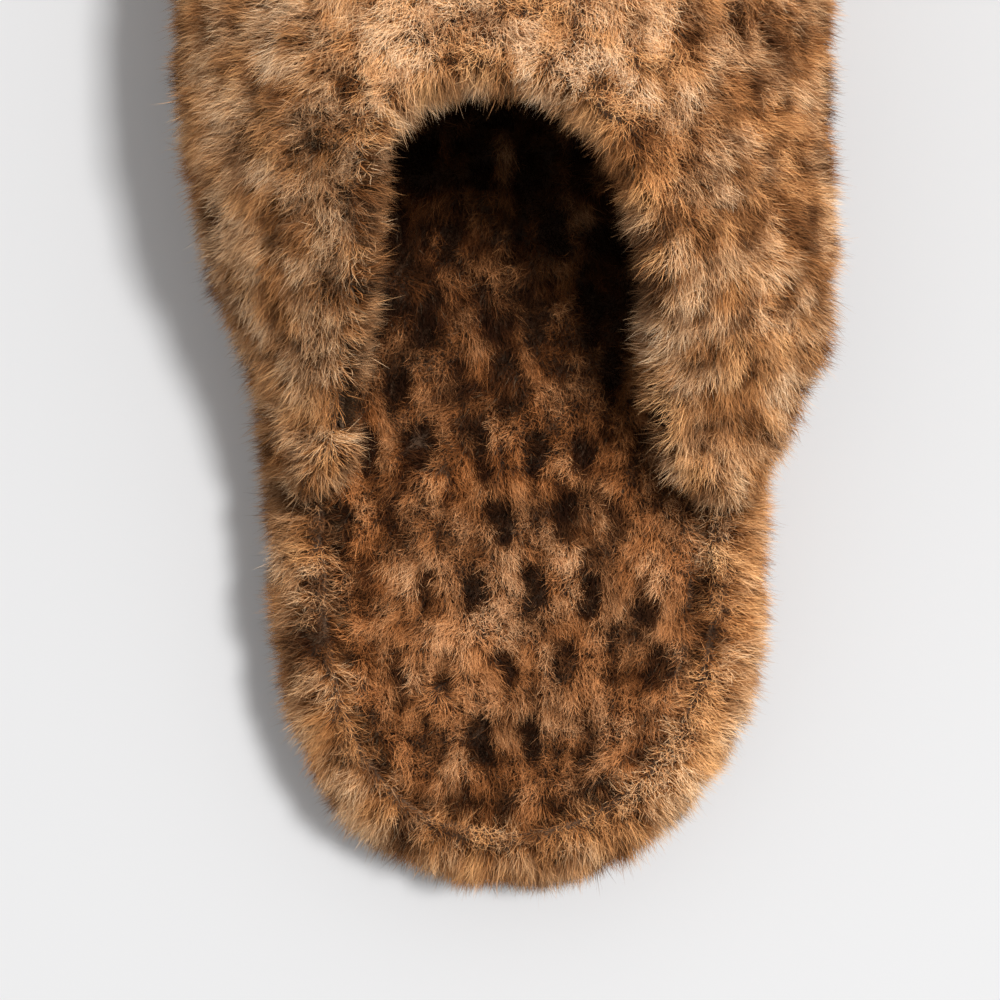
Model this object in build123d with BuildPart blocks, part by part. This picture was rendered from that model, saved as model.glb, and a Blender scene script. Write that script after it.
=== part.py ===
"""Fluffy backless house slipper for the right foot, in slip-lasted construction, in millimetres.

A sheepskin vamp, a sheepskin footbed and a sheepskin platform wrap meet in one seam round the top of
a foam platform. The wrap turns under the foam, a filler levels the bottom, and a rubber outsole closes it.
+Y points to the toe, +X to the outer side of the foot, +Z up. The origin is on the ground, at the middle
of the slipper's length and width. Sheepskin pieces are solid as far out as their pile is dense.
"""

from build123d import *
from math import cos, radians, sin
import os

# Heights of the bottom unit's layers, from the ground up.
OUTSOLE_TOP = 4.0
TURN_UNDER_TOP = 5.5
MIDSOLE_TOP = 15.0
CUSHION_TOP = 19.0
FOOTBED_TOP = 26.0

# Distances from the platform's edge: outwards is positive.
WRAP_PILE = 7.5
WRAP_HIDE = -1.5
CUSHION_INSET = -2.0
FOOTBED_INSET = -3.4
TURN_UNDER_INSET = -14.0
FILLER_INSET = -14.3
WRAP_TOP_RADIUS = 6.0
WRAP_FOOT_RADIUS = 4.5

# The platform's edge, seen from above: from the heel round the outer side to the toe, and back round the inner.
PLATFORM_EDGE = [
    (-1, -129),
    (20, -123),
    (32.3, -107.5),
    (36.5, -87),
    (36.2, -66),
    (41.5, -38),
    (45.5, -5),
    (45.8, 35),
    (40.5, 75),
    (25, 112),
    (-5, 128),
    (-31, 109),
    (-43, 75),
    (-46, 35),
    (-44, -5),
    (-37, -38),
    (-33.1, -62),
    (-31.8, -90),
    (-27.2, -110.8),
    (-17.5, -124),
]
OUTLINE_POINTS = 40

# The foot opening runs round this point: half an ellipse in front on the outer side, squarer on the inner side.
# The vamp runs round it from wing to wing.
OPENING_CENTRE = Vector(1, -38)
OPENING_HALF_WIDTH = 25.5
OPENING_HALF_LENGTH = 38.5
ELLIPSE_POWER = 2.0
INNER_CORNER_POWER = 4.0
OUTER_FLARE = 0.26
INNER_FLARE = 0.32
OUTER_FLARE_ANGLE = 108.0
INNER_FLARE_ANGLE = 75.0
THROAT_HEIGHT = 74.0
WING_HEIGHT = 33.0
WING_ANGLE = 131.0
MIDDLE_HEEL = 0.02
INNER_STEP_ANGLE = 85.0
OUTER_STEP_ANGLE = 108.0
WING_OVERHANG = 3.5
FADE_ANGLE = 140.0
VAMP_BASE = 26.2
VAMP_SECTIONS = 32
SIDE_BULGE = 2.0
OUTER_BULGE = 11.0
OUTER_BULGE_ANGLE = 95.0
INNER_BULGE = 6.0
INNER_BULGE_ANGLE = 72.0
BULGE_SPREAD = 48.0
BULGE_AT_BASE = 0.2
WALL_HANDLE = 0.52
CROWN_HANDLE = 0.46
CROWN_SLOPE = 0.19
LEAST_WALL = 1.4

# How deep each vamp layer ends below the outside of its pile, and where along its curve it starts or ends.
VAMP_SHEEPSKIN = 7.5
REINFORCEMENT = 8.3
INTERLINING = 9.8
LINING = 13.4
LAYER_GAP = 0.12
COLLAR_START = 0.80
COLLAR_GAP = 0.01
TAPE_START = 0.90
PUFF_END = 0.42
PUFF_REAR = 48.0

# Tread: zigzag grooves inside a plain border.
TREAD_DEPTH = 1.6
TREAD_BORDER = -6.5
GROOVE_WIDTH = 2.2
ZIGZAG_REACH = 5.0
ZIGZAG_RISE = 4.0
TREAD_PITCH = 7.0
TREAD_ROWS = 37
ZIGZAG_TURNS = 10
OUTSOLE_EDGE_ROUND = 1.0

HEEL_CUSHION_LENGTH = 62.0
HEEL_CUSHION_WIDTH = 46.0
HEEL_CUSHION_DEPTH = 4.0
HEEL_CUSHION_CENTRE = (2.0, -86.0)

FOOTBED_EDGE_ROUND = 2.5

THREAD_RADIUS = 0.4
STITCH_LENGTH = 4.4
FOOTBED_STITCHES = 108
FOOTBED_STITCH_OFFSET = -2.45
FOOTBED_STITCH_HEIGHT = 22.0
TOPLINE_STITCHES = 26
TOPLINE_STITCH_PLACE = 0.88
TOPLINE_STITCH_DEPTH = 1.0

BARTACK_LENGTH = 3.2
BARTACK_WIDTH = 1.6
BARTACK_HEIGHT = 0.8
BARTACK_GAP = 0.1
BARTACK_SETBACK = 0.004

with BuildLine() as edge_line:
    Spline(*PLATFORM_EDGE, periodic=True)
platform_edge = edge_line.edge()


def edge_frame(place):
    """The platform edge's point and outward normal, for a place from 0 at the heel to 1 all the way round."""
    along = platform_edge % place
    return platform_edge @ place, Vector(along.Y, -along.X)


def platform_plan(distance):
    """The platform's plan, grown by a distance on every side."""
    frames = [edge_frame(count / OUTLINE_POINTS) for count in range(OUTLINE_POINTS)]
    with BuildSketch() as plan:
        with BuildLine():
            Spline(*[point + distance * outward for point, outward in frames], periodic=True)
        make_face()
    return plan.sketch


def slab(distance, low, high, mode=Mode.ADD):
    """A flat layer of the platform's plan between two heights, in the part being built."""
    extrude(Plane.XY.offset(low) * platform_plan(distance), amount=high - low, mode=mode)


def section_angle(place):
    """The angle of an edge place round the foot opening, from the toe's direction, plus to the outer side."""
    point, _ = edge_frame(place)
    arm = point - OPENING_CENTRE
    return Vector(0, 1).get_signed_angle(arm, Vector(0, 0, -1))


def place_at(angle):
    """The place along the platform's edge that lies at a signed angle round the foot opening."""
    return bisect(lambda place: section_angle(place) - angle)


def bisect(falling, low=MIDDLE_HEEL, high=1 - MIDDLE_HEEL):
    """Where a function that falls along the platform's edge crosses zero."""
    for _ in range(40):
        middle = (low + high) / 2
        if falling(middle) > 0:
            low = middle
        else:
            high = middle
    return high


OUTER_WING, INNER_WING = place_at(WING_ANGLE), place_at(-WING_ANGLE)


def vamp_place(share):
    """The edge place at a share from wing to wing, spaced half by length and half by angle."""

    def remaining(place):
        by_length = (place - OUTER_WING) / (INNER_WING - OUTER_WING)
        by_angle = (WING_ANGLE - section_angle(place)) / (2 * WING_ANGLE)
        return share - (by_length + by_angle) / 2

    return bisect(remaining)


def section_plane(place):
    """The upright plane through the opening's centre and an edge place: X runs outwards, Y up."""
    point, _ = edge_frame(place)
    arm = (point - OPENING_CENTRE).normalized()
    return Plane(origin=OPENING_CENTRE, x_dir=arm, z_dir=(arm.Y, -arm.X, 0))


def meridian(place, depth, start=0.0, end=1.0):
    """Control points of the vamp's curve from its base to the opening, at a depth below the pile's outside."""
    point, outward = edge_frame(place)
    arm = point - OPENING_CENTRE
    angle = section_angle(place)
    turn = radians(abs(angle))
    slant = 1 / arm.normalized().dot(outward)
    outer_side = angle > 0
    flare_start = OUTER_FLARE_ANGLE if outer_side else INNER_FLARE_ANGLE
    flare = 1 + (OUTER_FLARE if outer_side else INNER_FLARE) * ramp(abs(angle), flare_start) ** 2
    squarer = not outer_side and abs(angle) < 90
    rim = flare * opening_radius(turn, INNER_CORNER_POWER if squarer else ELLIPSE_POWER)
    top = WING_HEIGHT + (THROAT_HEIGHT - WING_HEIGHT) * cos(turn * 90 / FADE_ANGLE)
    step_in = ramp(abs(angle), OUTER_STEP_ANGLE if outer_side else INNER_STEP_ANGLE)
    extra = side_bulge(abs(angle), outer_side)
    base = arm.length + (WRAP_PILE + (WING_OVERHANG - WRAP_PILE) * step_in + BULGE_AT_BASE * extra) * slant
    room = min((top - VAMP_BASE - LEAST_WALL) / LINING, (base - rim - LEAST_WALL) / (LINING * slant))
    depth *= min(1.0, room)
    crown = rim + CROWN_HANDLE * (base - rim)
    crown_drop = CROWN_SLOPE * max(0.0, cos(turn)) * (crown - rim)
    points = [
        (base - depth * slant, VAMP_BASE),
        (base + (SIDE_BULGE + extra - depth) * slant, VAMP_BASE + WALL_HANDLE * (top - VAMP_BASE) - 0.5 * depth),
        (crown - 0.5 * depth, top - crown_drop - depth),
        (rim, top - depth),
    ]
    return bezier_span(points, start, end)


def opening_radius(turn, power):
    """The foot opening's radius at an angle in radians: an ellipse's, or with fuller corners at a higher power."""
    across = (sin(turn) / OPENING_HALF_WIDTH) ** power
    along = (abs(cos(turn)) / OPENING_HALF_LENGTH) ** power
    return (across + along) ** (-1 / power)


def side_bulge(angle, outer_side):
    """How much further than elsewhere the pile swells out beside the foot opening."""
    most, middle = (OUTER_BULGE, OUTER_BULGE_ANGLE) if outer_side else (INNER_BULGE, INNER_BULGE_ANGLE)
    return most * cos(radians(90 * min(1.0, abs(angle - middle) / BULGE_SPREAD))) ** 2


def ramp(angle, first):
    """Rises from 0 at a first angle to 1 at the wing ends."""
    return max(0.0, (angle - first) / (WING_ANGLE - first))


def bezier_span(points, start, end):
    """The control points of a cubic Bezier curve's stretch between two parameters."""

    def blossom(a, b, c):
        rows = [Vector(*p) for p in points]
        for t in (a, b, c):
            rows = [p * (1 - t) + q * t for p, q in zip(rows, rows[1:])]
        return rows[0]

    return [
        blossom(start, start, start),
        blossom(start, start, end),
        blossom(start, end, end),
        blossom(end, end, end),
    ]


def vamp_layer(outside, inside, start=0.0, end=1.0):
    """Lofts a layer of the vamp between two depths, from wing to wing, in the part being built."""
    sections = []
    for count in range(VAMP_SECTIONS + 1):
        place = vamp_place(count / VAMP_SECTIONS)
        outer = meridian(place, outside, start, end)
        inner = meridian(place, inside, start, end)
        with BuildSketch(section_plane(place)) as section:
            with BuildLine():
                Bezier(*outer)
                Line(outer[3], inner[3])
                Bezier(*reversed(inner))
                Line(inner[0], outer[0])
            make_face()
        sections.append(section.sketch)
    loft(sections)


def hem_point(angle):
    """A point just inside the lining below the opening's edge, at a signed angle round the opening."""
    place = place_at(angle)
    end = meridian(place, LINING, end=TOPLINE_STITCH_PLACE)[3]
    return section_plane(place).from_local_coords(Vector(end.X, end.Y - TOPLINE_STITCH_DEPTH))


def save(part, label):
    """Labels a finished piece and writes its STEP file."""
    part.label = label
    export_step(part, f"parts/{label}.step")
    print(f"{label}: {len(part.solids())} solids, {part.volume / 1000:.1f} cm3, {part.bounding_box().size}")


os.makedirs("parts", exist_ok=True)

# Rubber outsole with zigzag tread grooves.
with BuildSketch() as zigzag:
    with BuildLine():
        turns = range(-ZIGZAG_TURNS, ZIGZAG_TURNS + 1)
        Polyline(*[(ZIGZAG_REACH * turn, ZIGZAG_RISE * (turn % 2 - 0.5)) for turn in turns])
    trace(line_width=GROOVE_WIDTH)

with BuildPart() as outsole:
    slab(0, 0, OUTSOLE_TOP)
    fillet(outsole.edges().group_by(Axis.Z)[0], OUTSOLE_EDGE_ROUND)
    with BuildSketch(Plane.XY):
        with GridLocations(1, TREAD_PITCH, 1, TREAD_ROWS):
            add(zigzag.sketch)
        add(platform_plan(TREAD_BORDER), mode=Mode.INTERSECT)
    extrude(amount=TREAD_DEPTH, mode=Mode.SUBTRACT)
save(outsole.part, "outsole")

# Felt filler that levels the bottom inside the wrap's turned-under edge.
with BuildPart() as bottom_filler:
    slab(FILLER_INSET, OUTSOLE_TOP, TURN_UNDER_TOP)
save(bottom_filler.part, "bottom_filler")

# Sheepskin wrap round the platform: a plump wall of pile, and an edge turned under the foam.
with BuildPart() as platform_wrap:
    slab(WRAP_PILE, OUTSOLE_TOP, FOOTBED_TOP)
    fillet(platform_wrap.edges().group_by(Axis.Z)[-1], WRAP_TOP_RADIUS)
    fillet(platform_wrap.edges().group_by(Axis.Z)[0], WRAP_FOOT_RADIUS)
    slab(WRAP_HIDE, TURN_UNDER_TOP, FOOTBED_TOP, mode=Mode.SUBTRACT)
    slab(TURN_UNDER_INSET, OUTSOLE_TOP, FOOTBED_TOP, mode=Mode.SUBTRACT)
save(platform_wrap.part, "platform_wrap")

# Foam platform with a pocket for the heel cushion.
with BuildPart() as midsole:
    slab(WRAP_HIDE, TURN_UNDER_TOP, MIDSOLE_TOP)
    with BuildSketch(Plane.XY.offset(MIDSOLE_TOP)):
        with Locations(HEEL_CUSHION_CENTRE):
            Ellipse(HEEL_CUSHION_WIDTH / 2, HEEL_CUSHION_LENGTH / 2)
    extrude(amount=-HEEL_CUSHION_DEPTH, mode=Mode.SUBTRACT)
save(midsole.part, "midsole")

# Softer foam cushion set into the platform under the heel.
with BuildPart() as heel_cushion:
    with BuildSketch(Plane.XY.offset(MIDSOLE_TOP)):
        with Locations(HEEL_CUSHION_CENTRE):
            Ellipse(HEEL_CUSHION_WIDTH / 2, HEEL_CUSHION_LENGTH / 2)
    extrude(amount=-HEEL_CUSHION_DEPTH)
save(heel_cushion.part, "heel_cushion")

# Memory-foam layer under the footbed.
with BuildPart() as cushion_insole:
    slab(CUSHION_INSET, MIDSOLE_TOP, CUSHION_TOP)
save(cushion_insole.part, "cushion_insole")

# Sheepskin footbed, rounded where its pile dips into the seam.
with BuildPart() as footbed_shearling:
    slab(FOOTBED_INSET, CUSHION_TOP, FOOTBED_TOP)
    fillet(footbed_shearling.edges().group_by(Axis.Z)[-1], FOOTBED_EDGE_ROUND)
save(footbed_shearling.part, "footbed_shearling")

# Sheepskin upper: one arched skin from wing to wing, open at the back.
with BuildPart() as vamp_shearling:
    vamp_layer(0, VAMP_SHEEPSKIN)
save(vamp_shearling.part, "vamp_shearling")

# Stiff toe puff that keeps the toe box domed.
with BuildPart() as toe_puff:
    vamp_layer(VAMP_SHEEPSKIN + LAYER_GAP, REINFORCEMENT, end=PUFF_END)
    split(bisect_by=Plane.XZ.offset(-PUFF_REAR), keep=Keep.BOTTOM)
save(toe_puff.part, "toe_puff")

# Tape that stops the opening's edge from stretching.
with BuildPart() as topline_tape:
    vamp_layer(VAMP_SHEEPSKIN + LAYER_GAP, REINFORCEMENT, start=TAPE_START)
save(topline_tape.part, "topline_tape")

# Foam interlining of the upper.
with BuildPart() as vamp_interlining:
    vamp_layer(REINFORCEMENT + LAYER_GAP, INTERLINING, end=COLLAR_START)
save(vamp_interlining.part, "vamp_interlining")

# Foam roll that plumps the edge of the foot opening.
with BuildPart() as collar_padding:
    vamp_layer(REINFORCEMENT + LAYER_GAP, INTERLINING, start=COLLAR_START + COLLAR_GAP)
save(collar_padding.part, "collar_padding")

# Fleece lining of the upper.
with BuildPart() as vamp_lining:
    vamp_layer(INTERLINING + LAYER_GAP, LINING)
save(vamp_lining.part, "vamp_lining")

# Seam round the platform's top: one separate stitch after another.
with BuildPart() as footbed_stitches:
    for count in range(FOOTBED_STITCHES):
        spot, out = edge_frame(count / FOOTBED_STITCHES)
        spot += FOOTBED_STITCH_OFFSET * out
        spot += Vector(0, 0, FOOTBED_STITCH_HEIGHT)
        with Locations(Plane(origin=spot, x_dir=out, z_dir=(-out.Y, out.X, 0))):
            Cylinder(THREAD_RADIUS, STITCH_LENGTH)
save(footbed_stitches.part, "footbed_stitches")

# Hem stitches on the lining's inner face, a little below the foot opening.
with BuildPart() as topline_stitches:
    for count in range(1, TOPLINE_STITCHES):
        angle = WING_ANGLE * (1 - 2 * count / TOPLINE_STITCHES)
        here, there = hem_point(angle), hem_point(angle - 1)
        with Locations(Plane(origin=here, z_dir=there - here)):
            Cylinder(THREAD_RADIUS, STITCH_LENGTH)
save(topline_stitches.part, "topline_stitches")

# Bar tacks that hold the vamp's two wing ends down on the platform.
with BuildPart() as wing_bartacks:
    for place, back in ((OUTER_WING, -1), (INNER_WING, 1)):
        spot, out = edge_frame(place + back * BARTACK_SETBACK)
        spot += Vector(0, 0, FOOTBED_TOP + BARTACK_GAP + BARTACK_HEIGHT / 2)
        with Locations(Plane(origin=spot, x_dir=out, z_dir=(0, 0, 1))):
            Box(BARTACK_LENGTH, BARTACK_WIDTH, BARTACK_HEIGHT)
save(wing_bartacks.part, "wing_bartacks")
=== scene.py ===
"""A fluffy backless house slipper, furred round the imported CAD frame.

Every sheepskin piece has a hide, made from its CAD solid and set in under the pile, and a coat of real
strands that grow from it in locks and tufts. Shapes are worked out in millimetres and stored in metres.
+Y points to the toe, +X to the outer side of the foot, +Z up.
"""

import bpy
import numpy as np
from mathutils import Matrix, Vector
from mathutils.kdtree import KDTree


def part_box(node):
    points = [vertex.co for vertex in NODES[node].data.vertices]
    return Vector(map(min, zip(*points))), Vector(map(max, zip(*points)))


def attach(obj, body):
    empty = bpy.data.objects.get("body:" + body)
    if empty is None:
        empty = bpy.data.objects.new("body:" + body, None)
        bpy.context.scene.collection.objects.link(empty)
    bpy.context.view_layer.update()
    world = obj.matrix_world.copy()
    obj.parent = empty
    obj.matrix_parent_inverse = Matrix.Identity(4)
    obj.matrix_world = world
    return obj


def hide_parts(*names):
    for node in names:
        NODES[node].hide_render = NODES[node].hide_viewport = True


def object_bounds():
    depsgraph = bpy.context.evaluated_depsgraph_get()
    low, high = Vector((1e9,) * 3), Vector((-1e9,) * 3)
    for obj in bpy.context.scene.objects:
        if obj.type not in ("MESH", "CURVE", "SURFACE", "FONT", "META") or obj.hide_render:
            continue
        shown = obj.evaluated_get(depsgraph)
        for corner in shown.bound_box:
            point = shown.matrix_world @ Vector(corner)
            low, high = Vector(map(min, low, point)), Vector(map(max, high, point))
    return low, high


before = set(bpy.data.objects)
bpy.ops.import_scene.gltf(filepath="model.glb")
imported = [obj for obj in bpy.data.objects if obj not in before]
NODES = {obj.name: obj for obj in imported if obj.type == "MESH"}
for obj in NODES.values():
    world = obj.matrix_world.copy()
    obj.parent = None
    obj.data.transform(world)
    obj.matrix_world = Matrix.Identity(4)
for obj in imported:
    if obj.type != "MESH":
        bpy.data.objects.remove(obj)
cad_low, cad_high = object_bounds()

MM = 0.001
LOWEST_HAIR = 0.4
UP = np.array([0.0, 0.0, 1.0])
TO_HEEL = np.array([0.0, -1.0, 0.0])

# Heights and places that the frame gives.
VAMP_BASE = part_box("vamp_shearling")[0][2] / MM
VAMP_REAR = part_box("vamp_shearling")[0][1] / MM

# The foot opening runs round this point, which lies a little to the outer side.
OPENING_SIDE = 1.0
OPENING_REACH = 42.0
OPENING = np.array([OPENING_SIDE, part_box("topline_tape")[1][1] / MM - OPENING_REACH])


# ---------------------------------------------------------------- arrays and noise


def unit(vectors):
    """Vectors scaled to length 1."""
    return vectors / np.maximum(np.linalg.norm(vectors, axis=-1, keepdims=True), 1e-9)


def smoothstep(low, high, values):
    """0 below low, 1 above high, smooth between."""
    t = np.clip((values - low) / (high - low), 0, 1)
    return t * t * (3 - 2 * t)


AXIS_PRIMES = np.array([73856093, 19349663, 83492791])
SEED_PRIME = 2654435761
MIXING = ((15, 2246822519), (13, 3266489917))
LOW_32_BITS = 0xFFFFFFFF
LOW_24_BITS = 0xFFFFFF


def lattice(cells, seed):
    """A repeatable random number from 0 to 1 for each whole-number cell."""
    mixed = (cells.astype(np.int64) * AXIS_PRIMES[: cells.shape[1]]).sum(1)
    mixed = (mixed + seed * SEED_PRIME) & LOW_32_BITS
    for shift, prime in MIXING:
        mixed = ((mixed ^ (mixed >> shift)) * prime) & LOW_32_BITS
    return ((mixed ^ (mixed >> 16)) & LOW_24_BITS) / float(LOW_24_BITS)


def noise(points, size, seed):
    """Smooth value noise from 0 to 1 over 3-D points, with blobs of about the given size."""
    scaled = points / size
    base = np.floor(scaled).astype(np.int64)
    part = scaled - base
    part = part * part * (3 - 2 * part)
    total = np.zeros(len(points))
    for corner in np.ndindex(2, 2, 2):
        weight = np.prod(np.where(np.array(corner) == 1, part, 1 - part), axis=1)
        total += weight * lattice(base + np.array(corner), seed)
    return total


def noise_vectors(points, size, seed):
    """A smooth random vector in each point, each part from -1 to 1."""
    return np.stack([noise(points, size, seed + axis) for axis in range(3)], axis=1) * 2 - 1


# ---------------------------------------------------------------- meshes


def link(name, mesh):
    """A new object in the scene that rides on the slipper's one body."""
    piece = bpy.data.objects.new(name, mesh)
    bpy.context.scene.collection.objects.link(piece)
    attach(piece, "root")
    return piece


def read(mesh):
    """A mesh's points in millimetres, its edges, and its point normals."""
    points = np.empty(len(mesh.vertices) * 3)
    mesh.vertices.foreach_get("co", points)
    edges = np.empty(len(mesh.edges) * 2, np.int64)
    mesh.edges.foreach_get("vertices", edges)
    normals = np.empty(len(mesh.vertices) * 3)
    mesh.vertex_normals.foreach_get("vector", normals)
    return points.reshape(-1, 3) / MM, edges.reshape(-1, 2), normals.reshape(-1, 3)


def write(mesh, points):
    """Moves a mesh's points, given in millimetres."""
    mesh.vertices.foreach_set("co", (points * MM).ravel())
    mesh.update()


def relax(values, edges, rounds, pull=0.5):
    """Values at mesh points, evened out along the mesh's edges."""
    count = np.bincount(edges.ravel(), minlength=len(values)).astype(float)
    pull = np.broadcast_to(pull, len(values))[:, None]
    flat = values.reshape(len(values), -1)
    for _ in range(rounds):
        sums = np.stack(
            [
                np.bincount(edges[:, 0], column[edges[:, 1]], len(column))
                + np.bincount(edges[:, 1], column[edges[:, 0]], len(column))
                for column in flat.T
            ],
            axis=1,
        )
        flat = flat + pull * (sums / np.maximum(count, 1)[:, None] - flat)
    return flat.reshape(values.shape)


def voxel_copy(name, nodes, voxel):
    """A new even mesh over the CAD nodes' solids, with cells of a given size in millimetres."""
    points, faces = [], []
    for node in nodes:
        mesh = NODES[node].data
        start = len(points)
        points.extend(vertex.co[:] for vertex in mesh.vertices)
        faces.extend([start + index for index in face.vertices] for face in mesh.polygons)
    rough = bpy.data.meshes.new(name + "_rough")
    rough.from_pydata(points, [], faces)
    holder = bpy.data.objects.new(name + "_rough", rough)
    bpy.context.scene.collection.objects.link(holder)
    modifier = holder.modifiers.new("voxels", "REMESH")
    modifier.mode = "VOXEL"
    modifier.voxel_size = voxel * MM
    graph = bpy.context.evaluated_depsgraph_get()
    even = bpy.data.meshes.new_from_object(holder.evaluated_get(graph))
    bpy.data.objects.remove(holder)
    bpy.data.meshes.remove(rough)
    even.name = name
    return even


def hide_mesh(name, nodes, voxel, inset, smoothing=2, rounds=4, steps=3):
    """The CAD solids' skin, set in by inset(points, normals) millimetres and rounded."""
    mesh = voxel_copy(name, nodes, voxel)
    points, edges, normals = read(mesh)
    depth = relax(inset(points, normals), edges, rounds)
    for _ in range(steps):
        points, edges, normals = read(mesh)
        points = relax(points - normals * depth[:, None] / steps, edges, smoothing)
        write(mesh, points)
    mesh.shade_smooth()
    return mesh


# ---------------------------------------------------------------- pile


def scatter(mesh, density, rng):
    """Random root points on a mesh, density(points, normals) of them for each square millimetre."""
    points, _, normals = read(mesh)
    mesh.calc_loop_triangles()
    corners = np.empty(len(mesh.loop_triangles) * 3, np.int64)
    mesh.loop_triangles.foreach_get("vertices", corners)
    corners = corners.reshape(-1, 3)
    a, b, c = (points[corners[:, i]] for i in range(3))
    area = np.linalg.norm(np.cross(b - a, c - a), axis=1) / 2
    middle, facing = (a + b + c) / 3, unit(normals[corners].mean(1))
    expected = area * density(middle, facing)
    chosen = rng.choice(len(corners), int(expected.sum()), p=expected / expected.sum())
    u, v = rng.random((2, len(chosen), 1))
    flip = (u + v) > 1
    u, v = np.where(flip, 1 - u, u), np.where(flip, 1 - v, v)
    picked = corners[chosen]
    roots, facing = (
        values[picked[:, 0]] * (1 - u - v) + values[picked[:, 1]] * u + values[picked[:, 2]] * v
        for values in (points, normals)
    )
    return roots, unit(facing)


def gather(points, spacing, rng):
    """Groups points into locks about a spacing apart: the number of each point's nearest lock centre."""
    cells = np.floor(points / spacing).astype(np.int64)
    _, first = np.unique(cells, axis=0, return_index=True)
    centres = rng.permutation(first)
    tree = KDTree(len(centres))
    for number, index in enumerate(centres):
        tree.insert(points[index], number)
    tree.balance()
    owner = np.fromiter((tree.find(point)[1] for point in points), np.int64, len(points))
    return centres[owner]


# How far growth strays from the flow, over patches of each size in millimetres.
WANDERS = ((13.0, 0.70), (4.6, 0.77), (1.9, 0.77))


def comb(roots, normals, flow, lean, seed):
    """Growth directions: the normal leaned over along the flow, wandering a little from place to place."""
    along = flow
    for size, wander in WANDERS:
        along = along + wander * noise_vectors(roots, size, seed + int(size))
    along = unit(along - normals * (along * normals).sum(1, keepdims=True))
    tilt = np.radians(lean)[:, None]
    return unit(normals * np.cos(tilt) + along * np.sin(tilt))


# A strand is a ribbon of two segments: two points at its root, two at its middle ring, one at its tip.
RINGS = np.array([0.0, 0.58, 1.0])
CORNERS = np.array([[0, 1, 3], [0, 3, 2], [2, 3, 4]])
ACROSS = np.array([0.0, 1.0, 0.0, 1.0, 0.5])
ALONG = np.array([RINGS[0], RINGS[0], RINGS[1], RINGS[1], RINGS[2]])
SEGMENTS = np.array([0, 0, 1, 1, 1])
TAPER = np.array([1.0, 0.85])
STRAND_POINTS = len(ALONG)

# Locks and the tufts that they join in: their spacing in millimetres and how far they draw a tip in.
CLUSTERS = ((1.0, 0.08), (3.6, 0.30))
TIP_SPREAD = 0.25
PULL_RANGE = (0.6, 0.8)
DROOP = 0.04
FRIZZ = 1.1
MIDDLE_FRIZZ = 0.6
BEND_HEIGHT = 0.55
BEND_LIFT = 0.6


def grow(roots, normals, growth, length, rng, frizz=FRIZZ):
    """Each strand's points at its rings, drawn together into locks and tufts at the tips.

    Also how far out in its tuft each strand stands, in tuft sizes.
    """
    count = len(roots)
    tips = roots + growth * length[:, None]
    tips -= UP * (DROOP * length)[:, None]
    for spacing, pull in CLUSTERS:
        owner = gather(roots, spacing, rng)
        offset = roots - roots[owner]
        aim = tips[owner] + TIP_SPREAD * offset
        share = pull * (PULL_RANGE[0] + PULL_RANGE[1] * rng.random((count, 1)))
        tips = tips + share * (aim - tips)
    tips += frizz * rng.normal(size=(count, 3))
    middle = roots + BEND_HEIGHT * length[:, None] * unit(growth + BEND_LIFT * normals)
    middle += MIDDLE_FRIZZ * frizz * rng.normal(size=(count, 3))
    t = RINGS[None, :, None]
    lines = (1 - t) ** 2 * roots[:, None] + 2 * t * (1 - t) * middle[:, None] + t * t * tips[:, None]
    return lines, np.linalg.norm(offset, axis=1) / spacing


# How far a ribbon's face strays from the skin's, how much its shading follows the skin, and the part of its
# cell in the texture that it fills.
FACE_SPREAD = 0.5
SKIN_SHADING = 0.5
CELL_ACROSS = (0.15, 0.7)
CELL_ALONG = (0.06, 0.88)
CELL_ASPECT = 1.5


def ribbon_mesh(name, lines, normals, width, values, rng):
    """A mesh of one narrow tapered ribbon for each strand, with the named values on its points.

    A ribbon shades half as itself and half as the skin under it, as fine crimped wool does.
    """
    count = len(lines)
    tangents = unit(lines[:, 1:] - lines[:, :-1])
    turned = unit(normals + FACE_SPREAD * rng.normal(size=(count, 3)))
    side = unit(np.cross(tangents, turned[:, None]))
    facing = unit(np.cross(side, tangents))
    facing = unit((1 - SKIN_SHADING) * facing + SKIN_SHADING * normals[:, None])
    shading = facing[:, SEGMENTS]
    half = width[:, None, None] / 2 * TAPER[None, :, None] * side
    points = np.empty((count, STRAND_POINTS, 3))
    points[:, 0:-1:2] = lines[:, :-1] - half
    points[:, 1:-1:2] = lines[:, :-1] + half
    points[:, -1] = lines[:, -1]
    corners = (CORNERS.ravel()[None] + STRAND_POINTS * np.arange(count)[:, None]).ravel()
    mesh = bpy.data.meshes.new(name)
    mesh.vertices.add(count * STRAND_POINTS)
    mesh.vertices.foreach_set("co", (points * MM).ravel())
    mesh.loops.add(len(corners))
    mesh.loops.foreach_set("vertex_index", corners)
    mesh.polygons.add(len(corners) // 3)
    mesh.polygons.foreach_set("loop_start", np.arange(0, len(corners), 3))
    mesh.update(calc_edges=True)
    mesh.shade_smooth()
    mesh.normals_split_custom_set_from_vertices(shading.reshape(-1, 3))
    atlas = mesh.uv_layers.new(name="OFBake")
    columns = int(np.ceil(np.sqrt(count * CELL_ASPECT)))
    rows = int(np.ceil(count / columns))
    number = np.arange(count)
    left = (number % columns)[:, None] + CELL_ACROSS[0] + CELL_ACROSS[1] * ACROSS[None]
    low = (number // columns)[:, None] + CELL_ALONG[0] + CELL_ALONG[1] * ALONG[None]
    places = np.stack([left / columns, low / rows], axis=2).reshape(-1, 2)
    atlas.data.foreach_set("uv", places[corners].ravel())
    for label, numbers in values.items():
        layer = mesh.attributes.new(label, "FLOAT", "POINT")
        layer.data.foreach_set("value", np.repeat(numbers, STRAND_POINTS).astype(np.float32))
    layer = mesh.attributes.new("along", "FLOAT", "POINT")
    layer.data.foreach_set("value", np.tile(ALONG, count).astype(np.float32))
    return mesh


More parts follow.
